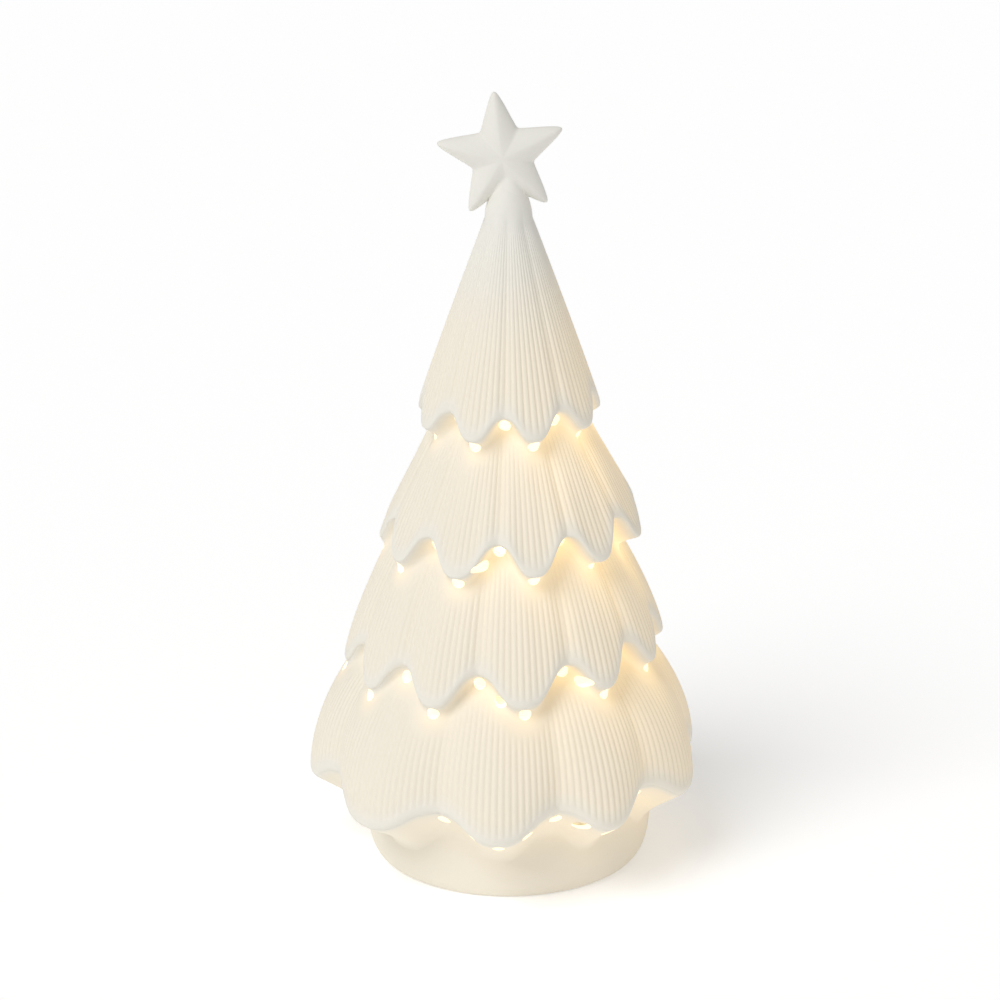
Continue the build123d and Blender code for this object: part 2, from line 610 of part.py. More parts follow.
# Screws that hold the circuit board on its posts
with BuildPart() as board_screws:
    with BuildSketch(Plane.XY.offset(BOARD_TOP)):
        with GridLocations(0, POST_SPACING, 1, 2):
            Circle(SCREW_HEAD_RADIUS)
    extrude(amount=SCREW_HEAD_HEIGHT)
    with BuildSketch(Plane.XY.offset(BOARD_TOP)):
        with GridLocations(0, POST_SPACING, 1, 2):
            Circle(SCREW_RADIUS)
    extrude(amount=-SCREW_LENGTH)
save_piece(board_screws.part, "board_screws")

# Driver chip with four legs a side
with BuildPart() as driver_chip:
    with BuildSketch(Plane.XY.offset(BOARD_TOP)):
        with Locations((0, CHIP_OFFSET)):
            Rectangle(CHIP_WIDTH, CHIP_LENGTH)
    extrude(amount=CHIP_HEIGHT)
    with BuildSketch(Plane.XY.offset(BOARD_TOP)):
        with Locations((0, CHIP_OFFSET)):
            with GridLocations(0, CHIP_LEG_PITCH, 1, CHIP_LEGS):
                Rectangle(CHIP_LEG_SPAN, CHIP_LEG_WIDTH)
    extrude(amount=CHIP_LEG_HEIGHT)
save_piece(driver_chip.part, "driver_chip")

# LED board, standing in the middle of the tree
with BuildPart() as led_board:
    with BuildSketch(Plane.XZ):
        with Locations((0, BOARD_TOP)):
            Rectangle(LED_BOARD_WIDTH, LED_BOARD_TOP - BOARD_TOP, align=(Align.CENTER, Align.MIN))
        with Locations((0, BOARD_BOTTOM - LED_TAB_STANDOUT)):
            tab_height = BOARD_THICKNESS + LED_TAB_STANDOUT
            Rectangle(LED_TAB_WIDTH, tab_height, align=(Align.CENTER, Align.MIN))
    extrude(amount=LED_BOARD_THICKNESS / 2, both=True)
save_piece(led_board.part, "led_board")

# LEDs on both faces of their board
for side, facing in (("front", -1), ("rear", 1)):
    for number, share in enumerate(LED_HEIGHT_SHARES, start=1):
        level = BOARD_TOP + (LED_BOARD_TOP - BOARD_TOP) * share
        with BuildPart() as led:
            led_face = (0, facing * LED_BOARD_THICKNESS / 2, level)
            with BuildSketch(Plane(led_face, x_dir=(1, 0, 0), z_dir=(0, facing, 0))):
                Rectangle(LED_SIZE, LED_SIZE)
            extrude(amount=LED_HEIGHT, taper=LED_DRAFT)
        save_piece(led.part, f"led_{side}_{number}")

# Slide switch: a body on the flange and a knob through its slot
with BuildPart() as switch_body:
    with BuildSketch(Plane.XY.offset(FLANGE_TOP)):
        with Locations((SWITCH_OFFSET, 0)):
            Rectangle(SWITCH_WIDTH, SWITCH_LENGTH)
    extrude(amount=SWITCH_HEIGHT)
    with BuildSketch(Plane.XY.offset(FLANGE_TOP)):
        with Locations((SWITCH_OFFSET, 0)):
            Rectangle(KNOB_WIDTH + 2 * KNOB_CLEARANCE, KNOB_LENGTH + KNOB_TRAVEL + 2 * KNOB_CLEARANCE)
    extrude(amount=KNOB_SINK + KNOB_CLEARANCE, mode=Mode.SUBTRACT)
save_piece(switch_body.part, "switch_body")

with BuildPart() as switch_knob:
    with BuildSketch(Plane.XY.offset(FLANGE_BOTTOM - KNOB_STANDOUT)):
        with Locations((SWITCH_OFFSET, KNOB_PLACE)):
            Rectangle(KNOB_WIDTH, KNOB_LENGTH)
    extrude(amount=KNOB_STANDOUT + FLANGE_THICKNESS + KNOB_SINK)
    with BuildSketch(Plane.XY.offset(FLANGE_BOTTOM - KNOB_STANDOUT)):
        with Locations((SWITCH_OFFSET, KNOB_PLACE)):
            with GridLocations(0, 2 * KNOB_GROOVE, 1, KNOB_GROOVES):
                Rectangle(KNOB_WIDTH, KNOB_GROOVE)
    extrude(amount=KNOB_GROOVE, mode=Mode.SUBTRACT)
save_piece(switch_knob.part, "switch_knob")

# Leads from the switch, up over the edge of the circuit board and down to their pads
for name, side in (("switch_feed_lead", -1), ("switch_return_lead", 1)):
    lead_place = side * LEAD_SPACING / 2
    pad_place = BOARD_WIDTH / 2 - LEAD_PAD_INSET
    with BuildPart() as lead:
        with BuildLine() as route:
            FilletPolyline(
                (SWITCH_OFFSET, lead_place, SWITCH_TOP),
                (SWITCH_OFFSET, lead_place, BOARD_TOP + LEAD_RISE),
                (pad_place, lead_place, BOARD_TOP + LEAD_RISE),
                (pad_place, lead_place, BOARD_TOP),
                radius=LEAD_BEND,
            )
        with BuildSketch(Plane.XY.offset(SWITCH_TOP)):
            with Locations((SWITCH_OFFSET, lead_place)):
                RegularPolygon(LEAD_RADIUS, LEAD_SIDES)
        sweep(path=route.wire())
    save_piece(lead.part, name)
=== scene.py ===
"""The looks of the lit ceramic tree: pleated shell with star, light unit, floor, lights and camera."""

import json
from collections import namedtuple
from math import radians

import bpy
import numpy as np
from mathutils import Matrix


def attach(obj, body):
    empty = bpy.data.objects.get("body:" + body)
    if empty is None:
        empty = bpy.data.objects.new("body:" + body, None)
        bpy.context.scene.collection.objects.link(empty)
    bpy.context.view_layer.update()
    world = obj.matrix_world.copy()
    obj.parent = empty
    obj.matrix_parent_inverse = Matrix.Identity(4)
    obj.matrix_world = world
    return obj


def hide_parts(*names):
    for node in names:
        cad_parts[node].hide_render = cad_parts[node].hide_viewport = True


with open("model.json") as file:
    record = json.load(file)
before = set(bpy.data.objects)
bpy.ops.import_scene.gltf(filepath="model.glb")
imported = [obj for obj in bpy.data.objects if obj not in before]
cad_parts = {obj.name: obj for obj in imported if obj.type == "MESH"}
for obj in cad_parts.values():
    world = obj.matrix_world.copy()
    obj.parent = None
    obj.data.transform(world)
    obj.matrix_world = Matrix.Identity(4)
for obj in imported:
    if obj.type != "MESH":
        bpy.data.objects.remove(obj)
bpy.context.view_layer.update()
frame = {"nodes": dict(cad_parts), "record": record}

# Lengths of the shell and the star are in millimetres, azimuths in degrees from the front, positive to +X
MM = 0.001

# Neck, base and foot of the shell
NECK_HEIGHT = 210.0
NECK_RADIUS = 7.4
DOME_RISE = 17.0
DOME_POWER = 2.5
BASE_RADIUS = 45.5
FOOT_RADIUS = 41.0
FOOT_ROUND_HEIGHT = 13.0
FOOT_RING_WIDTH = 3.5
FLOOR_RECESS = 5.0
FLOOR_TOP = 8.5
OPENING_RADIUS = 32.0
WALL = 3.0
HOLLOW_TOP = 196.0

# A hem lies at hem_height in its notches, lower by about drop in its lobes, and rises by slant towards +X.
# A skirt runs from root_radius to lip_radius in mid lobe, and its hem lies deeper by reach at a notch.
# The share fold_root of that depth is left at the root, and shift moves the skirt towards +X.
# The band under a hem is tuck high, and goes in more quickly with a higher tuck_power.
Tier = namedtuple(
    "Tier",
    "hem_height lip_radius reach fold_root drop slant shift root_height root_radius power "
    "tuck tuck_power ribs notches extra_holes",
)

# Tiers from the top down
TIERS = (
    Tier(
        hem_height=153.5,
        lip_radius=29.6,
        reach=3.2,
        fold_root=0.15,
        drop=7.0,
        slant=0.8,
        shift=0.0,
        root_height=210.0,
        root_radius=7.5,
        power=1.05,
        tuck=7.0,
        tuck_power=3.2,
        ribs=84,
        notches=(-168, -127, -86, -44, -3, 38, 80, 120, 157),
        extra_holes=(),
    ),
    Tier(
        hem_height=116.5,
        lip_radius=42.3,
        reach=4.7,
        fold_root=0.5,
        drop=9.5,
        slant=2.2,
        shift=0.8,
        root_height=150.0,
        root_radius=22.0,
        power=1.05,
        tuck=7.0,
        tuck_power=3.2,
        ribs=128,
        notches=(-170, -137, -106, -76, -42, -5, 29, 61, 94, 126, 158),
        extra_holes=(-14,),
    ),
    Tier(
        hem_height=77.0,
        lip_radius=51.1,
        reach=5.2,
        fold_root=0.5,
        drop=9.5,
        slant=3.4,
        shift=-1.2,
        root_height=112.0,
        root_radius=33.0,
        power=1.35,
        tuck=7.5,
        tuck_power=3.2,
        ribs=150,
        notches=(-160, -134, -107, -73, -44, -12, 24, 54, 82, 113, 144, 172),
        extra_holes=(-3, 31),
    ),
    Tier(
        hem_height=34.0,
        lip_radius=62.7,
        reach=6.0,
        fold_root=0.5,
        drop=7.5,
        slant=1.5,
        shift=-0.9,
        root_height=72.0,
        root_radius=43.5,
        power=2.0,
        tuck=13.0,
        tuck_power=1.6,
        ribs=180,
        notches=(-152, -113, -69, -22, 16, 49, 88, 128, 168),
        extra_holes=(-12, 6, 24),
    ),
)
FLARE = 0.4
FOLD_POWER = 0.65
HEM_SQUARENESS = 0.6
LIP_ROUND = 0.07
LIP_CURL = 1.1
LIP_CURL_HEIGHT = 3.2

# Pleats pressed into the skirts
RIB_DEPTH = 0.37
RIB_SHARPNESS = 2
RIB_PITCH = 2.1
RIB_MARGIN = 1.6
RIB_FADE_HEM = 4.0
RIB_FADE_ROOT = 4.0

# Light holes in the bands under the hems
HOLE_RADIUS = 1.9
NOTCH_HOLE_DROP = 3.4
LOBE_HOLE_DROP = 2.1

# Points that lie further round the axis from a hole than this, in radians, aren't in it
HOLE_SPAN = 1.0

# Fineness of the shell's grid
COLUMNS = 1152
SKIRT_ROWS = 30
BAND_ROWS = 24
LIP_CROWDING = 1.6
BASE_ROWS = 6
ROUND_ROWS = 10

# Star on the neck
STAR_RADIUS = 23.6
STAR_WAIST = 9.6
STAR_HALF_THICKNESS = 4.6
STAR_SHIFT = -2.0
STAR_HEIGHT = 229.8
STAR_TILT = 7
STAR_POINTS = 5
STAR_ROUNDNESS = 0.955
STAR_CROWN = 1.75
STAR_EDGE = 0.6
STAR_BLEND = 5.0
STAR_COLUMNS = 300
STAR_ROWS = 24

# Edges of the shell and the star that are sharper than this, in degrees, aren't smoothed
SHARP_ANGLE = 50

# Warm light that comes through the porcelain, painted on the shell as emission and as a warmer base colour,
# stronger towards LIT_AZIMUTH
SPILL_REACH = 3.4
SPILL_DROP = 0.6
SPILL_STRENGTH = 0.16
BAND_GLOW = 0.34
BAND_GLOW_RISE = 0.5
BAND_FADE_POWER = 2.6
VALLEY_REACH = 1.7
BASE_GLOW = 0.11
BODY_GLOW = 0.15
BODY_GLOW_LEAST = 0.27
BODY_GLOW_TOP = 212.0
BODY_GLOW_FADE = 45.0
BASE_DIMNESS = 0.7
BASE_DIM_TOP = 30.0
BASE_DIM_FADE = 15.0
LIT_AZIMUTH = 84
LIT_HEIGHT = 112.0
LIT_SPAN = 75.0
LIT_SIDE_POWER = 2
# Painted warm light is weaker at the thick lips: by this share, fading over these heights above and below
# each hem
LIP_LIGHT_LOSS = 0.7
LIP_LIGHT_LOSS_RISE = 9.0
LIP_LIGHT_LOSS_DROP = 2.0
THROUGH_GLOW = (1.0, 0.6, 0.12)
# Painted warm light in the base colour: the porcelain's colour is multiplied by this where the lit hollow
# lies behind the wall
PAINTED_WARM_TINT = (1.0, 0.965, 0.915)

# Grains of the materials
Grain = namedtuple("Grain", "scale strength distance")
GRAIN_DETAIL = 4
PORCELAIN_GRAIN = Grain(scale=900, strength=0.12, distance=0.0002)
LIT_GRAIN = Grain(scale=700, strength=0.1, distance=0.0002)
MOULDED_GRAIN = Grain(scale=1200, strength=0.1, distance=0.0001)
FOAM_GRAIN = Grain(scale=2500, strength=0.1, distance=0.0001)

# Porcelain; the inner wall, with the LEDs' light painted on as its own glow; and the LEDs' lenses, which
# are lamps
PORCELAIN_COLOUR = (0.82, 0.805, 0.745)
PORCELAIN_DARK = (0.805, 0.79, 0.725)
PORCELAIN_PALE = (0.83, 0.815, 0.755)
PORCELAIN_ROUGHNESS = 0.62
PORCELAIN_SPECULAR = 0.3
WARM_WHITE = (1.0, 0.84, 0.52)
LIT_ROUGHNESS = 0.5
LIT_WALL_COLOUR = (0.72, 0.7, 0.68)
LIT_WALL_STRENGTH = 0.62
LED_COLOUR = (0.95, 0.75, 0.35)
LED_STRENGTH = 9.0

# Finishes of the light unit, by the record's material slots
Finish = namedtuple("Finish", "colour roughness metallic grain", defaults=(0.0, MOULDED_GRAIN))
FINISHES = {
    "white_plastic": Finish((0.8, 0.8, 0.78), 0.45),
    "black_plastic": Finish((0.035, 0.035, 0.04), 0.4),
    "foam": Finish((0.7, 0.7, 0.68), 0.9, grain=FOAM_GRAIN),
    "cell_wrap": Finish((0.07, 0.12, 0.26), 0.25),
    "contact_steel": Finish((0.62, 0.61, 0.58), 0.3, metallic=1.0),
    "circuit_laminate": Finish((0.72, 0.73, 0.7), 0.5),
    "lead_insulation": Finish((0.5, 0.03, 0.025), 0.45),
}
MOTTLE_DARK = 0.92
MOTTLE_PALE = 1.06

# Floor, lights and camera: places in metres, angles in degrees, focal length and sensor in millimetres
WHITE = (1.0, 1.0, 1.0, 1.0)
FLOOR_HALF_WIDTH = 6.0
FLOOR_COLOUR = (0.93, 0.93, 0.93)
FLOOR_ROUGHNESS = 0.9
FLOOR_BRIGHTNESS = 0.25
WORLD_STRENGTH = 0.43
KEY_PLACE = (-0.9, -0.95, 1.6)
KEY_ENERGY = 1.52
KEY_SPREAD = 35
CAMERA_PLACE = (0.0, -1.25, 0.583)
CAMERA_PITCH = 20.42
FOCAL_LENGTH = 152.8
SENSOR_WIDTH = 36
FRAME_SHIFT = -0.0085


def smooth_step(share):
    """0 below 0, 1 above 1 and a soft run between."""
    held = np.clip(share, 0, 1)
    return held * held * (3 - 2 * held)


def lobe_wave(tier, azimuth):
    """0 at the notches and about 1 in the middle of each lobe, more on the wider lobes."""
    edges = np.array((*tier.notches, tier.notches[0] + 360))
    turned = (azimuth - edges[0]) % 360 + edges[0]
    lobe = np.clip(np.searchsorted(edges, turned, side="right") - 1, 0, len(tier.notches) - 1)
    width = edges[lobe + 1] - edges[lobe]
    across = (turned - edges[lobe]) / width
    return np.sqrt(width * len(tier.notches) / 360) * (1 - np.cos(2 * np.pi * across)) / 2


def hem_height(tier, azimuth):
    """Height of a tier's scalloped and slanting hem."""
    slant = tier.slant * np.sin(np.radians(azimuth))
    wave = lobe_wave(tier, azimuth)
    return tier.hem_height - tier.drop * (wave + HEM_SQUARENESS * (smooth_step(wave) - wave)) + slant


def skirt_radius(tier, azimuth, height):
    """Radius of one bowed skirt with its folds, carried on above its root and below its hem."""
    run = (tier.root_height - height) / (tier.root_height - hem_height(tier, azimuth))
    spread = 1 - (1 - np.minimum(run, 1)) ** tier.power + FLARE * np.maximum(run - 1, 0)
    bowed = tier.root_radius + (tier.lip_radius - tier.root_radius) * spread
    fold = tier.fold_root + (1 - tier.fold_root) * np.clip(run, 0, 1)
    folded = tier.reach * fold * (lobe_wave(tier, azimuth) ** FOLD_POWER - 1)
    above_hem = np.clip((height - hem_height(tier, azimuth)) / LIP_CURL_HEIGHT, 0, 1)
    curl = LIP_CURL * (1 - np.sqrt(1 - (1 - above_hem) ** 2))
    return bowed + folded - curl + tier.shift * np.sin(np.radians(azimuth))


def tuck_share(tier, below):
    """How far a band has gone in at a depth below its hem: round at the lip, then quick, then upright."""
    share = np.clip(below / tier.tuck, 0, 1)
    eased = share**2 / (share + LIP_ROUND) * (1 + LIP_ROUND)
    return 1 - (1 - eased) ** tier.tuck_power


def smooth_radius(azimuth, height):
    """Radius of the shell without its pleats: each skirt tucks into the one below its hem."""
    radius = skirt_radius(TIERS[0], azimuth, height)
    for index, tier in enumerate(TIERS):
        tucked = tuck_share(tier, hem_height(tier, azimuth) - height)
        last = index == len(TIERS) - 1
        below = BASE_RADIUS if last else skirt_radius(TIERS[index + 1], azimuth, height)
        radius = radius * (1 - tucked) + below * tucked
    return radius


def rib_groove(azimuth, height, radius):
    """Depth of the pleats' grooves, faded out at each hem and below each tuck."""
    depth = np.zeros_like(height)
    top = np.full_like(height, NECK_HEIGHT)
    for tier in TIERS:
        bottom = hem_height(tier, azimuth)
        above_hem = smooth_step((height - bottom - RIB_MARGIN) / RIB_FADE_HEM)
        below_top = smooth_step((top - height) / RIB_FADE_ROOT)
        pitch_share = np.minimum(2 * np.pi * radius / tier.ribs / RIB_PITCH, 1)
        wave = (1 - np.cos(tier.ribs * np.radians(azimuth))) / 2
        depth += RIB_DEPTH * pitch_share * above_hem * below_top * wave**RIB_SHARPNESS
        top = bottom - tier.tuck
    return depth


def hole_places():
    """Azimuth and height of every light hole: one at each notch, one under each lobe and a few between."""
    places = []
    for tier in TIERS:
        ends = (*tier.notches[1:], tier.notches[0] + 360)
        lobes = [(start + end) / 2 for start, end in zip(tier.notches, ends)]
        for azimuth in np.array((*tier.notches, *lobes, *tier.extra_holes), float):
            wave = min(lobe_wave(tier, azimuth), 1)
            drop = NOTCH_HOLE_DROP + (LOBE_HOLE_DROP - NOTCH_HOLE_DROP) * wave
            places.append((azimuth, hem_height(tier, azimuth) - drop))
    return places


def to_points(radius, azimuth, height):
    """Millimetres round the axis to metres in the frame."""
    turn = np.radians(azimuth)
    return np.stack([radius * np.sin(turn), -radius * np.cos(turn), height], axis=-1) * MM


def wall_rows():
    """Azimuths and heights of the rows from the neck to the base, one row's azimuths and the base's top."""
    azimuth = np.arange(COLUMNS) * 360 / COLUMNS - 180
    heights = []
    top = np.full(COLUMNS, NECK_HEIGHT)
    for tier in TIERS:
        bottom = hem_height(tier, azimuth)
        left = 1 - np.arange(SKIRT_ROWS) / SKIRT_ROWS
        heights += [bottom + (top - bottom) * share**LIP_CROWDING for share in left]
        heights += [bottom - tier.tuck * share**LIP_CROWDING for share in np.arange(BAND_ROWS) / BAND_ROWS]
        top = bottom - tier.tuck
    return np.tile(azimuth, (len(heights), 1)), np.array(heights), azimuth, top


def dome_radius(height):
    """Radius of the neck's rounded top, which ends inside the star."""
    share = np.clip((height - NECK_HEIGHT) / DOME_RISE, 0, 1)
    return NECK_RADIUS * (1 - share**2) ** (DOME_POWER / 2)


def ring(radius, height):
    """Radii and heights of one level row of the shell."""
    return np.full(COLUMNS, radius), np.full(COLUMNS, height)


def dome_rows():
    """Rows of the neck's rounded top, from the tip down."""
    turns = np.arange(1, ROUND_ROWS) / ROUND_ROWS * np.pi / 2
    heights = NECK_HEIGHT + DOME_RISE * np.cos(turns)
    return [ring(radius, height) for radius, height in zip(dome_radius(heights), heights)]


def base_rows(base_top):
    """Rows of the base, the rounded foot and the floor, down the outside and back to the inner wall."""
    side = np.full(COLUMNS, BASE_RADIUS)
    shares = np.arange(BASE_ROWS) / BASE_ROWS
    base = [(side, base_top + (FOOT_ROUND_HEIGHT - base_top) * share) for share in shares]
    foot = [
        ring(
            FOOT_RADIUS + (BASE_RADIUS - FOOT_RADIUS) * np.cos(turn),
            FOOT_ROUND_HEIGHT * (1 - np.sin(turn)),
        )
        for turn in np.arange(ROUND_ROWS + 1) / ROUND_ROWS * np.pi / 2
    ]
    inner_foot = FOOT_RADIUS - FOOT_RING_WIDTH
    under = [
        ring(inner_foot, 0.0),
        ring(inner_foot, FLOOR_RECESS),
        ring(OPENING_RADIUS, FLOOR_RECESS),
        ring(OPENING_RADIUS, FLOOR_TOP),
        ring(BASE_RADIUS - WALL, FLOOR_TOP),
    ]
    return [*base, *foot, *under]


def pierce(azimuths, heights):
    """Take the grid's faces out of each light hole and draw the edges that are left on to its circle."""
    taken = np.zeros((azimuths.shape[0] - 1, COLUMNS), bool)
    start_azimuths, start_heights = azimuths.copy(), heights.copy()
    radii = smooth_radius(start_azimuths, start_heights)
    for azimuth, height in hole_places():
        turn = np.radians((start_azimuths - azimuth + 180) % 360 - 180)
        sideways = np.where(np.abs(turn) < HOLE_SPAN, radii * np.sin(turn), np.inf)
        upwards = start_heights - height
        middles = []
        for place in (sideways, upwards):
            pair = place[:-1] + place[1:]
            middles.append((pair + np.roll(pair, -1, axis=1)) / 4)
        inside = middles[0] ** 2 + middles[1] ** 2 < HOLE_RADIUS**2
        taken |= inside
        padded = np.pad(inside, ((1, 1), (0, 0))).astype(int)
        touching = padded[:-1] + padded[1:]
        touching = touching + np.roll(touching, 1, axis=1)
        rim = (touching > 0) & (touching < 4)
        reach = np.hypot(sideways[rim], upwards[rim])
        azimuths[rim] = azimuth + np.degrees(np.arcsin(sideways[rim] * HOLE_RADIUS / reach / radii[rim]))
        heights[rim] = height + upwards[rim] * HOLE_RADIUS / reach
    return taken


def hole_rims(taken, outer_index, inner_index):
    """Faces through the wall round each hole, from the outside's grid points to the same ones inside."""
    rims = []
    for row, column in np.argwhere(taken):
        next_column = (column + 1) % COLUMNS
        corners = [(row, column), (row + 1, column), (row + 1, next_column), (row, next_column)]
        beside = [(row, column - 1), (row + 1, column), (row, next_column), (row - 1, column)]
        for start, end, other in zip(corners, corners[1:] + corners[:1], beside):
            if not taken[other]:
                rims.append([outer_index[start], outer_index[end], inner_index[end], inner_index[start]])
    return rims


def grid_faces(rows, columns):
    """Point numbers of a grid closed round its columns, the same one column on, and the faces."""
    index = np.arange(rows * columns).reshape(rows, columns)
    after = np.roll(index, -1, axis=1)
    return index, after, np.stack([index[:-1], index[1:], after[1:], after[:-1]], axis=-1)


def build_shell():
    """The casting without its star, as one grid: outside, foot, floor and inside, with its holes."""
    azimuths, heights, columns, base_top = wall_rows()
    taken = pierce(azimuths, heights)
    smooth = smooth_radius(azimuths, heights)
    outside = to_points(smooth - rib_groove(azimuths, heights, smooth), azimuths, heights)
    first_inside = int(np.argmax(heights.max(axis=1) < HOLLOW_TOP))
    inside = to_points(smooth - WALL, azimuths, heights)[first_inside:][::-1]
    dome = [to_points(radius, columns, height) for radius, height in dome_rows()]
    base = [to_points(radius, columns, height) for radius, height in base_rows(base_top)]
    rows = [*dome, *outside, *base, *inside]
    first_outside = len(dome)
    first_lit = len(rows) - len(inside)
    tip = (0, 0, (NECK_HEIGHT + DOME_RISE) * MM)
    hollow_tip = (0, 0, inside[-1][0][2])
    points = np.concatenate([*rows, [tip, hollow_tip]])

    index, after, faces = grid_faces(len(rows), COLUMNS)
    keep = np.ones(faces.shape[:2], bool)
    keep[first_outside : first_outside + len(taken)] &= ~taken
    keep[first_lit:] &= ~taken[first_inside:][::-1]
    lit = np.zeros(faces.shape[:2], bool)
    lit[first_lit - 1 :] = True

    outer_index = index[first_outside : first_outside + len(outside)]
    inner_index = np.zeros_like(outer_index)
    inner_index[first_inside:] = index[first_lit:][::-1]
    rims = hole_rims(taken, outer_index, inner_index)
    tip_index = len(points) - 2
    top_fan = [(tip_index, first, second) for first, second in zip(index[0], after[0])]
    low_fan = [(last, tip_index + 1, second) for last, second in zip(index[-1], after[-1])]

    all_faces = [*faces[keep].tolist(), *rims, *top_fan, *low_fan]
    slots = np.concatenate([lit[keep], np.ones(len(rims)), np.zeros(COLUMNS), np.ones(COLUMNS)]).astype(int)
    return points, all_faces, slots


def painted_warm_light(points):
    """Share of painted warm light through the wall: 1 where the lit hollow lies close behind the wall, less
    at the thick lips and 0 at the neck.
    """
    azimuth = np.degrees(np.arctan2(points[:, 0], -points[:, 1]))
    height = points[:, 2] / MM
    painted_warm_share = smooth_step((BODY_GLOW_TOP - height) / BODY_GLOW_FADE)
    for tier in TIERS:
        above = height - hem_height(tier, azimuth)
        away = np.where(above > 0, above / LIP_LIGHT_LOSS_RISE, -above / LIP_LIGHT_LOSS_DROP)
        painted_warm_share *= 1 - LIP_LIGHT_LOSS * smooth_step(1 - away)
    return painted_warm_share


def shell_glow(points):
    """How much painted warm light shows at each point as emission: most by the holes, then on the bands,
    least at the lips.
    """
    azimuth = np.degrees(np.arctan2(points[:, 0], -points[:, 1]))
    height = points[:, 2] / MM
    spill = np.zeros(len(points))
    for hole_azimuth, hole_height in hole_places():
        radius = smooth_radius(hole_azimuth, hole_height)
        middle = to_points(radius, hole_azimuth, hole_height - SPILL_DROP)
        gap = np.sum((points - middle) ** 2, axis=1) / (SPILL_REACH * MM) ** 2
        spill += SPILL_STRENGTH * np.exp(-gap / 2)
    side = ((1 + np.cos(np.radians(azimuth - LIT_AZIMUTH))) / 2) ** LIT_SIDE_POWER
    near = side * np.exp(-(((height - LIT_HEIGHT) / LIT_SPAN) ** 2))
    around = BODY_GLOW_LEAST + (1 - BODY_GLOW_LEAST) * side
    dimmed = 1 - BASE_DIMNESS * smooth_step((BASE_DIM_TOP - height) / BASE_DIM_FADE)
    glow = BODY_GLOW * around * painted_warm_light(points) * dimmed
    for index, tier in enumerate(TIERS):
        last = index == len(TIERS) - 1
        top = hem_height(tier, azimuth)
        bottom = 0 if last else hem_height(TIERS[index + 1], azimuth)
        valley = 1 if last else 1 - np.minimum(lobe_wave(TIERS[index + 1], azimuth), 1)
        under = smooth_step((top - height) / tier.tuck / BAND_GLOW_RISE)
        fade = 1 - np.clip((top - tier.tuck - height) / (top - tier.tuck - bottom), 0, 1)
        lit = BASE_GLOW * around if last else BAND_GLOW * near + spill
        glow += under * fade ** (BAND_FADE_POWER - VALLEY_REACH * valley) * lit
    return glow


def build_star():
    """A puffed star with soft ridges and rounded tips, grown over the neck's top, as points and faces."""
    half_sector = np.pi / STAR_POINTS
    side = np.sqrt(STAR_RADIUS**2 + STAR_WAIST**2 - 2 * STAR_RADIUS * STAR_WAIST * np.cos(half_sector))
    edge_distance = STAR_RADIUS * STAR_WAIST * np.sin(half_sector) / side
    edge_turn = np.arccos(edge_distance / STAR_RADIUS)
    angles = np.arange(STAR_COLUMNS) / STAR_COLUMNS * 2 * np.pi
    folded = np.arccos(STAR_ROUNDNESS * np.cos(STAR_POINTS * angles)) / STAR_POINTS
    outline = edge_distance / np.cos(edge_turn - folded)
    turned = angles + np.pi / 2 + radians(STAR_TILT)

    layers = []
    reaches = np.sin(np.arange(1, STAR_ROWS + 1) / STAR_ROWS * np.pi / 2)
    for facing in (-1, 1):
        for reach in reaches if facing < 0 else reaches[-2::-1]:
            puff = STAR_HALF_THICKNESS * (1 - reach**STAR_CROWN) ** STAR_EDGE
            sideways = outline * reach * np.cos(turned) + STAR_SHIFT
            upwards = outline * reach * np.sin(turned) + STAR_HEIGHT
            neck = np.sqrt(np.maximum(dome_radius(upwards) ** 2 - sideways**2, 0))
            soft = STAR_BLEND * smooth_step(neck / STAR_BLEND) * puff / STAR_HALF_THICKNESS
            grown = (puff + neck + np.hypot(puff - neck, soft)) / 2
            layers.append(np.column_stack([sideways, facing * grown, upwards]))
    tips = [(STAR_SHIFT, facing * STAR_HALF_THICKNESS, STAR_HEIGHT) for facing in (-1, 1)]
    points = np.concatenate([*layers, tips]) * MM

    index, after, sides = grid_faces(len(layers), STAR_COLUMNS)
    faces = sides.reshape(-1, 4).tolist()
    front = len(points) - 2
    faces += [(front, first, second) for first, second in zip(index[0], after[0])]
    faces += [(last, front + 1, second) for last, second in zip(index[-1], after[-1])]
    return points, faces


def add_object(name, data):
    """A new object in the scene."""
    made = bpy.data.objects.new(name, data)
    bpy.context.scene.collection.objects.link(made)
    return made


def make_piece(name, points, faces, materials, slots=None):
    """A smooth mesh piece with its materials."""
    mesh = bpy.data.meshes.new(name)
    mesh.from_pydata(points.tolist(), [], faces)
    mesh.validate()
    for material in materials:
        mesh.materials.append(material)
    if slots is not None:
        mesh.polygons.foreach_set("material_index", slots)
    mesh.shade_smooth()
    mesh.set_sharp_from_angle(angle=radians(SHARP_ANGLE))
    return add_object(name, mesh)


def new_material(name, colour, roughness, metallic=0.0):
    """A plain Principled material, and its tree and shader to build on."""
    material = bpy.data.materials.new(name)
    material.use_nodes = True
    shader = material.node_tree.nodes["Principled BSDF"]
    shader.inputs["Base Color"].default_value = (*colour, 1)
    shader.inputs["Roughness"].default_value = roughness
    shader.inputs["Metallic"].default_value = metallic
    return material, material.node_tree, shader


def add_emission(shader, colour, strength):
    """Light of a material's own, the same all over."""
    shader.inputs["Emission Color"].default_value = colour
    shader.inputs["Emission Strength"].default_value = strength


def add_grain(tree, shader, grain):
    """Fine noise in a material's surface."""
    place = tree.nodes.new("ShaderNodeTexCoord")
    noise = tree.nodes.new("ShaderNodeTexNoise")
    bump = tree.nodes.new("ShaderNodeBump")
    noise.inputs["Scale"].default_value = grain.scale
    noise.inputs["Detail"].default_value = GRAIN_DETAIL
    bump.inputs["Strength"].default_value = grain.strength
    bump.inputs["Distance"].default_value = grain.distance
    tree.links.new(place.outputs["Object"], noise.inputs["Vector"])
    tree.links.new(noise.outputs["Fac"], bump.inputs["Height"])
    tree.links.new(bump.outputs["Normal"], shader.inputs["Normal"])
    return noise


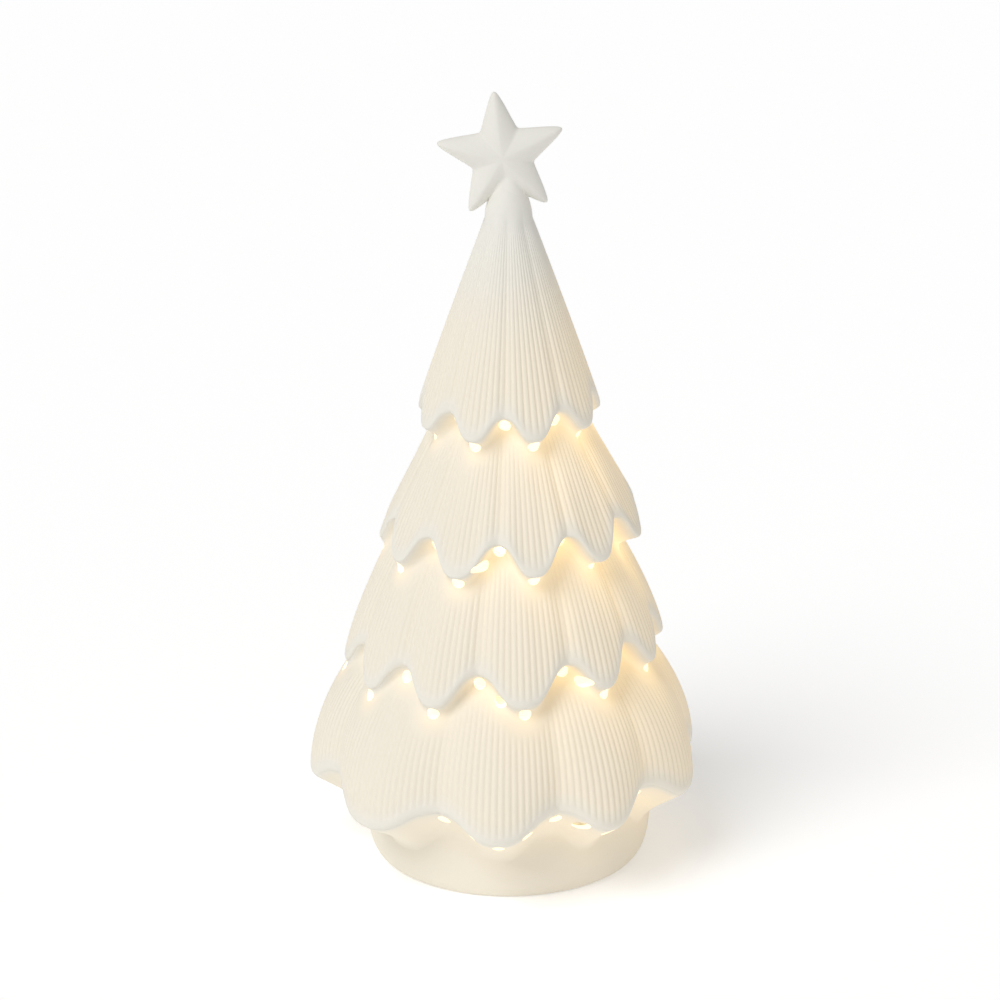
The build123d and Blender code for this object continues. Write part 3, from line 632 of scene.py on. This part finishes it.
def mottled_colour(tree, noise, low, high):
    """A colour that changes slightly along a material's noise."""
    ramp = tree.nodes.new("ShaderNodeValToRGB")
    ramp.color_ramp.elements[0].color = (*low, 1)
    ramp.color_ramp.elements[1].color = (*high, 1)
    tree.links.new(noise.outputs["Fac"], ramp.inputs["Fac"])
    return ramp.outputs["Color"]


def attribute_value(tree, name):
    """What a mesh's attribute says at each point."""
    attribute = tree.nodes.new("ShaderNodeAttribute")
    attribute.attribute_name = name
    return attribute.outputs["Fac"]


def porcelain_material():
    """Matte bisque, with painted warm light from within: its base colour warmed by the painted_warm_share
    attribute and its emission set by the glow attribute.
    """
    material, tree, shader = new_material("porcelain", PORCELAIN_COLOUR, PORCELAIN_ROUGHNESS)
    shader.inputs["Specular IOR Level"].default_value = PORCELAIN_SPECULAR
    shader.inputs["Emission Color"].default_value = (*THROUGH_GLOW, 1)
    noise = add_grain(tree, shader, PORCELAIN_GRAIN)
    # Painted warm light: the base colour is warmed where the hollow lies behind the wall
    painted_warm_mix = tree.nodes.new("ShaderNodeMixRGB")
    painted_warm_mix.blend_type = "MULTIPLY"
    painted_warm_mix.inputs["Color2"].default_value = (*PAINTED_WARM_TINT, 1)
    tree.links.new(attribute_value(tree, "painted_warm_share"), painted_warm_mix.inputs["Fac"])
    tree.links.new(mottled_colour(tree, noise, PORCELAIN_DARK, PORCELAIN_PALE), painted_warm_mix.inputs["Color1"])
    tree.links.new(painted_warm_mix.outputs["Color"], shader.inputs["Base Color"])
    tree.links.new(attribute_value(tree, "glow"), shader.inputs["Emission Strength"])
    return material


def lit_material(name, colour, strength):
    """Porcelain of the inner wall, with the LEDs' light painted on as its own glow, or an LED's lens, which
    is a lamp.
    """
    material, tree, shader = new_material(name, colour, LIT_ROUGHNESS)
    add_grain(tree, shader, LIT_GRAIN)
    add_emission(shader, (*WARM_WHITE, 1), strength)
    return material


def plain_material(name, finish):
    """A moulded, rolled or printed material with a faint grain and mottle."""
    material, tree, shader = new_material(name, finish.colour, finish.roughness, finish.metallic)
    noise = add_grain(tree, shader, finish.grain)
    low = [channel * MOTTLE_DARK for channel in finish.colour]
    high = [min(channel * MOTTLE_PALE, 1) for channel in finish.colour]
    tree.links.new(mottled_colour(tree, noise, low, high), shader.inputs["Base Color"])
    return material


# Shell and star
porcelain = porcelain_material()
# The inner wall and the hole rims glow with painted LED light
lit_porcelain = lit_material("lit_porcelain", LIT_WALL_COLOUR, LIT_WALL_STRENGTH)
shell_points, shell_faces, shell_slots = build_shell()
shell = make_piece("shell", shell_points, shell_faces, (porcelain, lit_porcelain), shell_slots)
# Painted warm light on the shell: glow for its emission, and a share that warms its base colour
for layer_name, layer_values in (("glow", shell_glow(shell_points)), ("painted_warm_share", painted_warm_light(shell_points))):
    layer = shell.data.attributes.new(layer_name, "FLOAT", "POINT")
    layer.data.foreach_set("value", layer_values)
star_points, star_faces = build_star()
star = make_piece("star", star_points, star_faces, (porcelain,))
for piece in (shell, star):
    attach(piece, "tree")
    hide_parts("tree_shell")

# The light unit keeps its CAD pieces and gets their finishes
slot_materials = {name: plain_material(name, finish) for name, finish in FINISHES.items()}
slot_materials["led_lens"] = lit_material("led_lens", LED_COLOUR, LED_STRENGTH)
slot_materials["porcelain"] = porcelain
for subpart in frame["record"]["subparts"]:
    node = frame["nodes"][subpart["node"]]
    node.data.materials.clear()
    node.data.materials.append(slot_materials[subpart["material_slot"]])

# Pale floor, even light and the photo's camera
paper, _, paper_shader = new_material("floor_paper", FLOOR_COLOUR, FLOOR_ROUGHNESS)
add_emission(paper_shader, WHITE, FLOOR_BRIGHTNESS)
corner_signs = ((-1, -1), (1, -1), (1, 1), (-1, 1))
floor_corners = [(x * FLOOR_HALF_WIDTH, y * FLOOR_HALF_WIDTH, 0) for x, y in corner_signs]
floor_mesh = bpy.data.meshes.new("floor")
floor_mesh.from_pydata(floor_corners, [], [(0, 1, 2, 3)])
floor_mesh.materials.append(paper)
floor = add_object("floor", floor_mesh)

world = bpy.data.worlds.new("studio")
world.use_nodes = True
background = world.node_tree.nodes["Background"]
background.inputs["Color"].default_value = WHITE
background.inputs["Strength"].default_value = WORLD_STRENGTH
bpy.context.scene.world = world

key_data = bpy.data.lights.new("key", "SUN")
key_data.energy = KEY_ENERGY
key_data.angle = radians(KEY_SPREAD)
key = add_object("key", key_data)
key.location = KEY_PLACE
key.rotation_euler = (-key.location).to_track_quat("-Z", "Y").to_euler()

camera_data = bpy.data.cameras.new("camera")
camera_data.lens = FOCAL_LENGTH
camera_data.sensor_width = SENSOR_WIDTH
camera_data.shift_x = FRAME_SHIFT
camera = add_object("camera", camera_data)
camera.location = CAMERA_PLACE
camera.rotation_euler = (radians(90 - CAMERA_PITCH), 0, 0)
bpy.context.scene.camera = camera
bpy.context.scene.view_settings.view_transform = "Standard"
